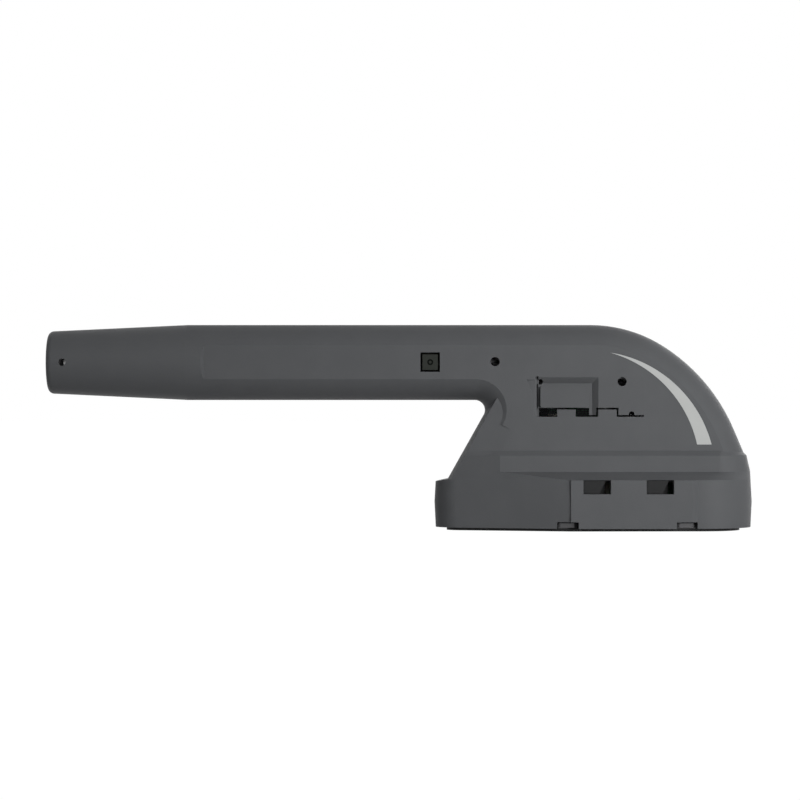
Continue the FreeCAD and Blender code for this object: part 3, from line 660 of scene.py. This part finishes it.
screw_pattern = next(m for m in frame["record"]["mounts"] if m["kind"] == "bolt_pattern")["dims"]
nut_finish = metal_finish(
    "grey_zinc", (0.06, 0.06, 0.062), mottle=0.12, grain_mm=0.25, relief=0.05, rough=0.3
)
nut_centre, nut_size = solids_of("mount_nuts")[0]
nut_sizes = {
    "Spacing X": screw_pattern["spacing_x_mm"] / 1000,
    "Spacing Y": screw_pattern["spacing_y_mm"] / 1000,
    "Level": nut_centre.z - nut_size.z / 2,
}
nuts = grow("square_nuts", corner_copies_tree(), nut_mesh(nut_size.x, nut_size.z), nut_finish, nut_sizes)
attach(nuts, "root")
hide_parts("mount_nuts")

# ---- main board ----
# Glass-epoxy board with thin copper runs under a dark green solder mask. It is screwed to four posts
# of the right shell.
MASK_ROUGH = 0.45
RUN_WIDTH = 0.06
RUN_LENGTH = 2.3
RUN_SPACING = 0.7
RUN_RELIEF = 0.4
RUN_HEIGHT = 0.00003
SHADED_SHARE = 0.85


def board_finish(name, mask, run_tone, pitch_mm, gloss):
    """Solder mask over a maze of copper runs."""
    finish = bpy.data.materials.new(name)
    finish.use_nodes = True
    nodes = finish.node_tree.nodes
    links = finish.node_tree.links
    shader = nodes["Principled BSDF"]
    shader.inputs["Roughness"].default_value = MASK_ROUGH
    shader.inputs["Specular IOR Level"].default_value = gloss
    place = nodes.new("ShaderNodeTexCoord")
    upright = nodes.new("ShaderNodeMapping")
    upright.inputs["Rotation"].default_value = (QUARTER_TURN, 0, 0)
    runs = nodes.new("ShaderNodeTexBrick")
    runs.inputs["Scale"].default_value = 1000 / pitch_mm
    runs.inputs["Mortar Size"].default_value = RUN_WIDTH
    runs.inputs["Brick Width"].default_value = RUN_LENGTH
    runs.inputs["Row Height"].default_value = RUN_SPACING
    runs.inputs["Color1"].default_value = (*mask, 1)
    runs.inputs["Color2"].default_value = (*[c * SHADED_SHARE for c in mask], 1)
    runs.inputs["Mortar"].default_value = (*run_tone, 1)
    lift = nodes.new("ShaderNodeBump")
    lift.inputs["Strength"].default_value = RUN_RELIEF
    lift.inputs["Distance"].default_value = RUN_HEIGHT
    links.new(place.outputs["Object"], upright.inputs["Vector"])
    links.new(upright.outputs["Vector"], runs.inputs["Vector"])
    links.new(runs.outputs["Color"], shader.inputs["Base Color"])
    links.new(runs.outputs["Fac"], lift.inputs["Height"])
    links.new(lift.outputs["Normal"], shader.inputs["Normal"])
    return finish


mask_green = board_finish(
    "green_mask", mask=(0.006, 0.036, 0.015), run_tone=(0.012, 0.07, 0.028), pitch_mm=1.0, gloss=0.2
)
dress("main_board", mask_green, FLAT_CREASE)

# ---- board screws ----
# Four cheese-head screws of black-oxide steel, their heads to the left, each with a cross recess and
# a rolled thread.
HEAD_HEIGHT = 0.0009
HEAD_EDGE = 0.00015
SHANK_RADIUS = 0.0007
RECESS_DEPTH = 0.0005
RECESS_ARM = 0.0008
RECESS_HALF = 0.00016
RECESS_TAPER = 0.7
SCREW_STEPS = 40
RINGS_PER_TURN = 4
FACING_LEFT = Matrix.Rotation(QUARTER_TURN, 4, "X")


def cross_station(scale, height):
    """Ring of a cross-shaped recess."""
    def at(angle):
        lean = abs((angle + QUARTER_TURN / 2) % QUARTER_TURN - QUARTER_TURN / 2)
        reach = RECESS_HALF / max(math.sin(lean), RECESS_HALF / RECESS_ARM)
        return scale * reach, height
    return at


def screw_mesh(head_radius, length):
    """Screw on the origin, its head above and its shank below."""
    shank = length - HEAD_HEIGHT
    root = SHANK_RADIUS - THREAD_DEPTH
    ring_step = THREAD_PITCH / RINGS_PER_TURN
    thread_rings = int(shank / ring_step) - 2
    stations = [
        round_station(0, HEAD_HEIGHT - RECESS_DEPTH),
        cross_station(RECESS_TAPER, HEAD_HEIGHT - RECESS_DEPTH),
        cross_station(1, HEAD_HEIGHT),
        round_station(head_radius - HEAD_EDGE, HEAD_HEIGHT),
        round_station(head_radius, HEAD_HEIGHT - HEAD_EDGE),
        round_station(head_radius, 0),
        round_station(SHANK_RADIUS, 0),
    ]
    stations += [thread_station(root, -ring_step * (k + 1)) for k in range(thread_rings)]
    stations += [round_station(root / 2, -shank), round_station(0, -shank)]
    return turned_mesh("screw_unit", stations, SCREW_STEPS, False)


def places_tree():
    """Copies one object's mesh to each point of the input mesh."""
    tree, source, sink = new_tree("copies_on_places", {"Unit": "NodeSocketObject"})
    unit = tree.nodes.new("GeometryNodeObjectInfo")
    tree.links.new(source.outputs["Unit"], unit.inputs["Object"])
    copies = lay_copies(tree, unit.outputs["Geometry"], source.outputs["Geometry"])
    finish_tree(tree, copies.outputs["Instances"], source, sink)
    return tree


screw_finish = metal_finish(
    "black_oxide_steel", (0.035, 0.035, 0.037), mottle=0.1, grain_mm=0.2, relief=0.1, rough=0.35
)
screws = solids_of("board_screws")
screw_size = screws[0][1]
unit_mesh = screw_mesh(screw_size.x / 2, screw_size.y)
unit_mesh.transform(FACING_LEFT)
screw_unit = put_in_scene("board_screw_unit", unit_mesh)
head_seat = Vector((0, screw_size.y / 2 - HEAD_HEIGHT, 0))
screw_seats = bpy.data.meshes.new("board_screw_seats")
screw_seats.from_pydata([tuple(centre - head_seat) for centre, size in screws], [], [])
screw_set = grow("board_screw_set", places_tree(), screw_seats, screw_finish, {"Unit": screw_unit})
bpy.data.objects.remove(screw_unit)
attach(screw_set, "root")
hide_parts("board_screws")

# ---- pressure sensor and chips ----
# Moulded packages soldered to the board: a pale differential pressure sensor with two hose ports, and
# black chips. Bent tinned legs run along their sides.
LEG_THICKNESS = 0.00008
LEG_SHOULDER = 0.3
LEG_ANKLE = 0.5
SENSOR_LEG = {"width": 0.0005, "rise": 0.0007, "reach": 0.0007}
SENSOR_LEG_PITCH = 0.0018
SENSOR_LEGS = 3
SENSOR_BODY_HALF = 0.0035
CHIP_LEG = {"width": 0.0002, "rise": 0.0004, "reach": 0.0005}
SQUARE_CHIP_FROM = 0.004
SQUARE_CHIP_LEGS = 8
SMALL_CHIP_LEGS = 4
FLAT_CHIP_RATIO = 1.5
FLAT_ROW_SHARE = 0.6
ROW_SHARE = 0.75


def closed_mesh(name, points, faces):
    """Mesh of a closed solid from its points and faces."""
    mesh = bpy.data.meshes.new(name)
    mesh.from_pydata(points, [], faces)
    work = bmesh.new()
    work.from_mesh(mesh)
    bpy.data.meshes.remove(mesh)
    return mesh_of(name, work)


def leg_mesh(width, rise, reach):
    """Bent leg: out of the package, down, and flat on the board."""
    path = [(0, rise), (reach * LEG_SHOULDER, rise), (reach * LEG_ANKLE, 0), (reach, 0)]
    outline = path + [(px, pz + LEG_THICKNESS) for px, pz in reversed(path)]
    count = len(outline)
    points = [(px, side * width / 2, pz) for side in (-1, 1) for px, pz in outline]
    sides = [(i, (i + 1) % count, (i + 1) % count + count, i + count) for i in range(count)]
    caps = [tuple(range(count)), tuple(range(2 * count - 1, count - 1, -1))]
    return closed_mesh("leg_unit", points, sides + caps)


def leg_rows_tree():
    """Two facing rows of legs along a package."""
    sizes = {"Legs": "NodeSocketInt", "Pitch": "NodeSocketFloat", "Package": "NodeSocketFloat"}
    tree, source, sink = new_tree("leg_rows", sizes)
    rows = tree.nodes.new("GeometryNodeMeshGrid")
    rows.inputs["Vertices X"].default_value = 2
    gaps = math_of(tree, "SUBTRACT", source.outputs["Legs"], 1)
    length = math_of(tree, "MULTIPLY", gaps, source.outputs["Pitch"])
    tree.links.new(source.outputs["Package"], rows.inputs["Size X"])
    tree.links.new(length, rows.inputs["Size Y"])
    tree.links.new(source.outputs["Legs"], rows.inputs["Vertices Y"])
    far_side = math_of(tree, "LESS_THAN", position_of(tree).outputs["X"], 0)
    half_turn = math_of(tree, "MULTIPLY", far_side, math.pi)
    copies = lay_copies(tree, source.outputs["Geometry"], rows.outputs["Mesh"])
    tree.links.new(vector_of(tree, 0, 0, half_turn), copies.inputs["Rotation"])
    finish_tree(tree, copies.outputs["Instances"], source, sink)
    return tree


leg_rows = leg_rows_tree()
leg_finish = metal_finish(
    "tinned_leg", (0.5, 0.5, 0.49), mottle=0.05, grain_mm=0.08, relief=0.1, rough=0.4
)
board_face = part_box("main_board")[0].y


def add_legs(piece_name, centre, package, count, pitch, turned, leg):
    """Legs on two opposite sides of a package that stands on the board's left face."""
    sizes = {"Legs": count, "Pitch": pitch, "Package": package}
    piece = grow(piece_name, leg_rows, leg_mesh(**leg), leg_finish, sizes)
    quarter = Matrix.Rotation(QUARTER_TURN if turned else 0, 4, "Z")
    seat = Vector((centre.x, board_face, centre.z))
    piece.data.transform(Matrix.Translation(seat) @ FACING_LEFT @ quarter)
    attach(piece, "root")


package_finish = grained_finish(
    "pale_package", (0.5, 0.5, 0.47), mottle=0.03, grain_mm=0.15, relief=0.2, rough=0.5
)
dress("pressure_sensor", package_finish, ROUND_CREASE)
sensor_low, sensor_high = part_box("pressure_sensor")
sensor_middle = Vector(((sensor_low.x + sensor_high.x) / 2, 0, sensor_low.z + SENSOR_BODY_HALF))
sensor_width = sensor_high.x - sensor_low.x
add_legs("sensor_legs", sensor_middle, sensor_width, SENSOR_LEGS, SENSOR_LEG_PITCH, False, SENSOR_LEG)
epoxy_finish = grained_finish(
    "black_epoxy", (0.016, 0.016, 0.018), mottle=0.08, grain_mm=0.08, relief=0.25, rough=0.55
)
dress("board_chips", epoxy_finish, FLAT_CREASE)
for number, (centre, size) in enumerate(solids_of("board_chips"), 1):
    label = "chip_{}_legs".format(number)
    flat = size.x > FLAT_CHIP_RATIO * size.z
    square = not flat and size.x > SQUARE_CHIP_FROM
    count = SQUARE_CHIP_LEGS if square else SMALL_CHIP_LEGS
    pitch = (FLAT_ROW_SHARE if flat else ROW_SHARE) * size.x / (count - 1)
    add_legs(label + "_upright", centre, size.z, count, pitch, True, CHIP_LEG)
    if square:
        add_legs(label + "_level", centre, size.x, count, pitch, False, CHIP_LEG)

# ---- connectors and their contacts ----
# Ivory nylon headers: two shrouded ones with gilt contacts that face down in the bay, and two small
# sockets for the leads.
CONTACT_SIDE = 0.00042
CONTACT_START = 0.0006
HEADER_FLOOR = 0.0016
CONTACTS = 4
CONTACT_PITCH = 0.00125
ivory_finish = grained_finish(
    "ivory_nylon", (0.72, 0.69, 0.6), mottle=0.03, grain_mm=0.2, relief=0.15, rough=0.5
)
gilt_finish = metal_finish(
    "gilt_contact", (0.83, 0.62, 0.25), mottle=0.04, grain_mm=0.1, relief=0.08, rough=0.25
)
for node in ("bus_connector", "power_connector", "heater_socket", "ambient_socket"):
    dress(node, ivory_finish, FLAT_CREASE)


def contact_mesh(length):
    """Square contact pointing down, its tip drawn to a blunt pyramid."""
    half = CONTACT_SIDE / 2
    rings = [(half, 0), (half, CONTACT_SIDE - length), (half / 3, -length)]
    points = [(sx * r, sy * r, z) for r, z in rings for sx, sy in SQUARE_CORNERS]
    faces = [(3, 2, 1, 0), (8, 9, 10, 11)]
    for ring in (0, 4):
        for i in range(4):
            j = (i + 1) % 4
            faces.append((ring + i, ring + j, ring + 4 + j, ring + 4 + i))
    return closed_mesh("contact_unit", points, faces)


def contact_row_tree():
    """One row of contacts along X, centred on the origin."""
    sizes = {"Contacts": "NodeSocketInt", "Pitch": "NodeSocketFloat"}
    tree, source, sink = new_tree("contact_row", sizes)
    row = tree.nodes.new("GeometryNodeMeshLine")
    gaps = math_of(tree, "SUBTRACT", source.outputs["Contacts"], 1)
    length = math_of(tree, "MULTIPLY", gaps, source.outputs["Pitch"])
    start = math_of(tree, "MULTIPLY", length, -0.5)
    tree.links.new(source.outputs["Contacts"], row.inputs["Count"])
    tree.links.new(vector_of(tree, start, 0, 0), row.inputs["Start Location"])
    tree.links.new(vector_of(tree, source.outputs["Pitch"], 0, 0), row.inputs["Offset"])
    copies = lay_copies(tree, source.outputs["Geometry"], row.outputs["Mesh"])
    finish_tree(tree, copies.outputs["Instances"], source, sink)
    return tree


contact_row = contact_row_tree()
for node in ("bus_connector", "power_connector"):
    low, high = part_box(node)
    length = high.z - low.z - HEADER_FLOOR - CONTACT_START
    sizes = {"Contacts": CONTACTS, "Pitch": CONTACT_PITCH}
    contacts = grow(node + "_contacts", contact_row, contact_mesh(length), gilt_finish, sizes)
    root_place = Vector(((low.x + high.x) / 2, (low.y + high.y) / 2, high.z - HEADER_FLOOR))
    contacts.data.transform(Matrix.Translation(root_place))
    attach(contacts, "root")

# ---- ambient sensor ----
# Square air temperature and humidity sensor that looks out of a window in the barrel: an olive-black
# lid with a ring-shaped breathing membrane, on a small black board.
MEMBRANE_IN = 0.00029
MEMBRANE_OUT = 0.00058
MEMBRANE_DEPTH = 0.0001
mask_black = board_finish(
    "black_mask", mask=(0.003, 0.003, 0.003), run_tone=(0.006, 0.006, 0.006), pitch_mm=0.8, gloss=0.02
)
dress("ambient_board", mask_black, FLAT_CREASE)
lid_finish = grained_finish(
    "olive_lid", (0.022, 0.0245, 0.021), mottle=0.08, grain_mm=0.12, relief=0.1,
    rough=0.42, gloss=0.12,
)
dress("ambient_sensor", lid_finish, ROUND_CREASE)
lid_low, lid_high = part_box("ambient_sensor")
lid_middle = (lid_low + lid_high) / 2
ring_stations = [
    round_station(MEMBRANE_IN, 0),
    round_station(MEMBRANE_IN, MEMBRANE_DEPTH / 2),
    round_station(MEMBRANE_OUT, MEMBRANE_DEPTH / 2),
    round_station(MEMBRANE_OUT, 0),
]
membrane_mesh = turned_mesh("breathing_membrane", ring_stations, TURN_STEPS, True)
membrane_seat = Vector((lid_middle.x, lid_low.y + MEMBRANE_DEPTH, lid_middle.z))
membrane_mesh.transform(Matrix.Translation(membrane_seat) @ FACING_LEFT)
membrane = put_in_scene("breathing_membrane", membrane_mesh)
membrane_finish = grained_finish(
    "black_membrane", (0.002, 0.0025, 0.002), mottle=0.2, grain_mm=0.04, relief=0.3,
    rough=0.8, gloss=0.02,
)
membrane_mesh.materials.append(membrane_finish)
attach(membrane, "root")

# ---- static fitting, hoses and leads ----
# Steel Y fitting between the static ports, two grey silicone hoses to the sensor, and thin sleeved
# leads from the heater, the thermistor and the ambient sensor.
hose_finish = grained_finish(
    "grey_silicone", (0.34, 0.35, 0.34), mottle=0.06, grain_mm=0.3, relief=0.08, rough=0.42
)
lead_finish = grained_finish(
    "red_sleeve", (0.3, 0.02, 0.015), mottle=0.08, grain_mm=0.2, relief=0.1, rough=0.45
)
dress("static_manifold", steel_tube, ROUND_CREASE)
for node in ("ram_hose", "static_hose"):
    dress(node, hose_finish, ROUND_CREASE)
for node in ("heater_lead", "thermistor_lead", "ambient_lead"):
    dress(node, lead_finish, ROUND_CREASE)

# ---- printed stripe ----
# Pale pad-printed crescent that follows the back of the dome on the left side: a film of ink two
# hundredths of a millimetre thick on the flat. Its corners are X and Z from the dome's middle.
STRIPE_TIP = (-0.0031, 0.00188)
STRIPE_OUTER = ((0.00983, -0.00443), (0.01695, -0.0163))
STRIPE_INNER = ((0.00815, -0.005), (0.01409, -0.0163))
STRIPE_STEPS = 40
INK_FILM = 0.00002


def arc_through(a, b, c):
    """Points along the circle arc from a through b to c."""
    a, b, c = Vector(a), Vector(b), Vector(c)
    d = 2 * (a.x * (b.y - c.y) + b.x * (c.y - a.y) + c.x * (a.y - b.y))
    squares = [p.length_squared for p in (a, b, c)]
    x = (squares[0] * (b.y - c.y) + squares[1] * (c.y - a.y) + squares[2] * (a.y - b.y)) / d
    y = (squares[0] * (c.x - b.x) + squares[1] * (a.x - c.x) + squares[2] * (b.x - a.x)) / d
    start = math.atan2(a.y - y, a.x - x)
    stop = math.atan2(c.y - y, c.x - x)
    radius = math.hypot(a.x - x, a.y - y)
    turns = [start + (stop - start) * i / STRIPE_STEPS for i in range(STRIPE_STEPS + 1)]
    return [(x + radius * math.cos(t), y + radius * math.sin(t)) for t in turns]


outer_edge = arc_through(STRIPE_TIP, *STRIPE_OUTER)
inner_edge = arc_through(STRIPE_TIP, *STRIPE_INNER)
flat_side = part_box("vent_cover")[0].y
ink = bmesh.new()
rails = []
for depth in (flat_side - INK_FILM, flat_side):
    for edge_line in (outer_edge, inner_edge):
        rails.append([ink.verts.new(dome + Vector((px, depth, pz))) for px, pz in edge_line])
front_out, front_in, back_out, back_in = rails
for i in range(STRIPE_STEPS):
    j = i + 1
    ink.faces.new((front_out[i], front_in[i], front_in[j], front_out[j]))
    ink.faces.new((back_in[i], back_out[i], back_out[j], back_in[j]))
    ink.faces.new((back_out[i], front_out[i], front_out[j], back_out[j]))
    ink.faces.new((front_in[i], back_in[i], back_in[j], front_in[j]))
ink.faces.new((front_out[-1], front_in[-1], back_in[-1], back_out[-1]))
stripe_mesh = mesh_of("dome_stripe", ink)
stripe = put_in_scene("dome_stripe", stripe_mesh)
ink_finish = grained_finish(
    "pale_ink", (0.5, 0.51, 0.5), mottle=0.04, grain_mm=0.12, relief=0.2, rough=0.5
)
stripe_mesh.materials.append(ink_finish)
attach(stripe, "root")
